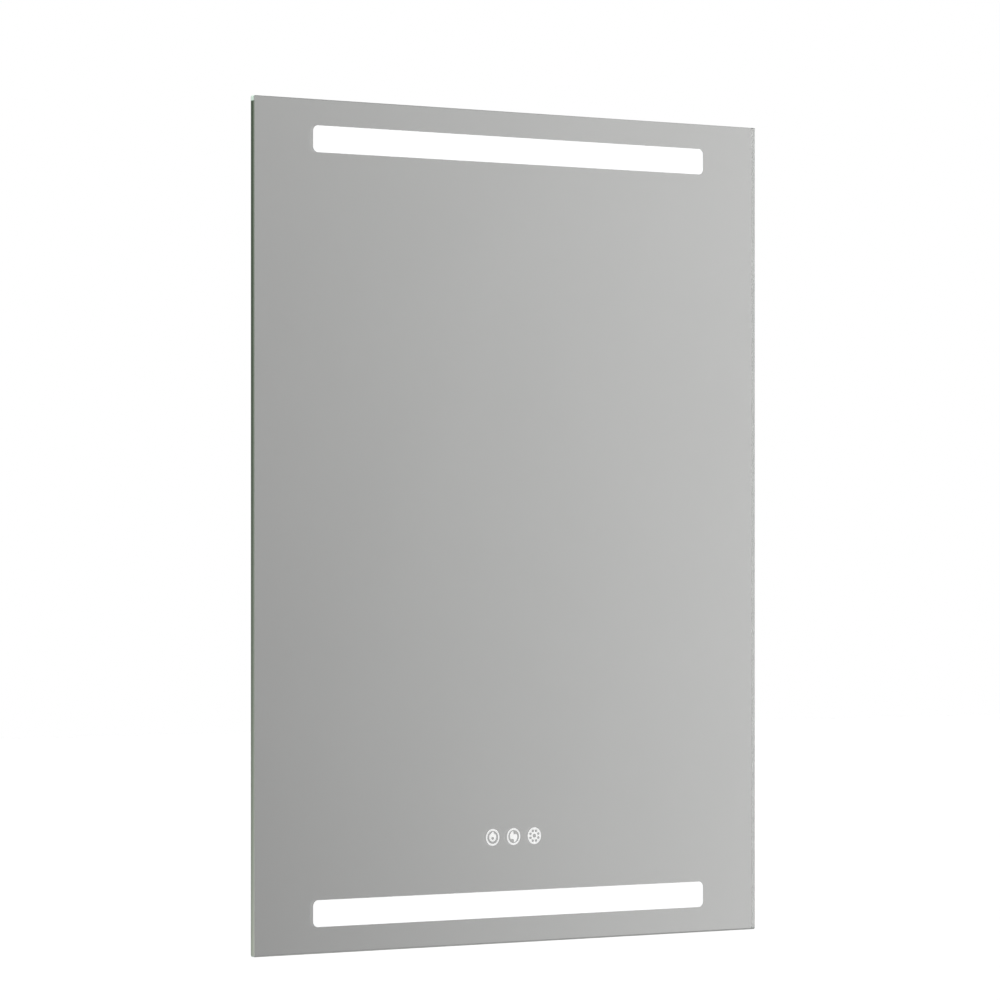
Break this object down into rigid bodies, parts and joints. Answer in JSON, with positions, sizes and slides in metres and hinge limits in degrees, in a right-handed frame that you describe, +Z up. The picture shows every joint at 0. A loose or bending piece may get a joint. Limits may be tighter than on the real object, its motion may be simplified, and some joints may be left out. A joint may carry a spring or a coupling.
{
  "type": "lit bathroom mirror",
  "caption": "Frameless rectangular bathroom mirror with lit bars across the top and bottom, touch keys and a demister, on a mitred rear frame that hooks over a wall rail.",
  "frame": {"origin": "on the wall, at the middle of the wall rail's row of screw holes", "axes": "+X to the right as seen from the front, +Y into the wall, +Z up"},
  "size_m": [0.6, 0.035, 0.8],
  "materials": {
    "aluminium": "satin anodised extrusion",
    "zinc_steel": "zinc-plated pressed steel",
    "glass": "clear float glass, ground and polished edges",
    "silvering": "silver film, grey backing paint",
    "foam_tape": "white foam tape",
    "rubber": "matt black rubber",
    "white_metal": "white powder coat",
    "opal_plastic": "opal acrylic, lit",
    "light_board": "white solder mask",
    "light_chip": "phosphor-filled lens",
    "grey_plastic": "fine moulded grain",
    "white_plastic": "fine moulded grain",
    "circuit_board": "green solder mask",
    "brass": "nickel-free brass and bronze",
    "heater_film": "clear polyester film over white",
    "heater_track": "etched foil",
    "lead_sheath": "white sheath"
  },
  "bodies": {
    "wall": {"wall_rail": "aluminium"},
    "mirror": {"hanger_bar": "aluminium", "hanger_rivets": "zinc_steel", "mirror_glass": "glass", "silver_coating": "silvering", "frame_top": "aluminium", "frame_bottom": "aluminium", "frame_left": "aluminium", "frame_right": "aluminium", "frame_tape": "foam_tape", "corner_keys": "zinc_steel", "corner_screws": "zinc_steel", "wall_pads": "rubber", "upper_crossbar": "aluminium", "lower_crossbar": "aluminium", "crossbar_tape": "foam_tape", "crossbar_brackets": "zinc_steel", "bracket_screws": "zinc_steel", "upper_light_trough": "white_metal", "lower_light_trough": "white_metal", "upper_diffuser": "opal_plastic", "lower_diffuser": "opal_plastic", "upper_light_board": "light_board", "lower_light_board": "light_board", "upper_light_chips": "light_chip", "lower_light_chips": "light_chip", "upper_trough_plugs": "grey_plastic", "lower_trough_plugs": "grey_plastic", "touch_housing": "white_plastic", "touch_lens": "opal_plastic", "touch_board": "circuit_board", "touch_springs": "brass", "touch_lights": "light_chip", "heating_film": "heater_film", "heating_track": "heater_track", "gear_plate": "zinc_steel", "gear_tape": "foam_tape", "driver_case": "white_plastic", "driver_end_covers": "grey_plastic", "driver_screws": "zinc_steel", "wiring_box": "white_plastic", "wiring_box_lid": "white_plastic", "lid_screws": "zinc_steel", "box_screws": "zinc_steel", "terminal_block": "white_plastic", "terminal_screws": "brass", "inlet_grommet": "rubber", "supply_lead": "lead_sheath", "upper_light_lead": "lead_sheath", "lower_light_lead": "lead_sheath", "film_lead": "lead_sheath", "driver_lead": "lead_sheath", "lead_clips": "white_plastic"}
  },
  "joints": [
    {"name": "lift_off", "type": "slide", "parent": "wall", "child": "mirror", "axis": [0, 0, 1], "range_m": [0, 0.02]}
  ]
}
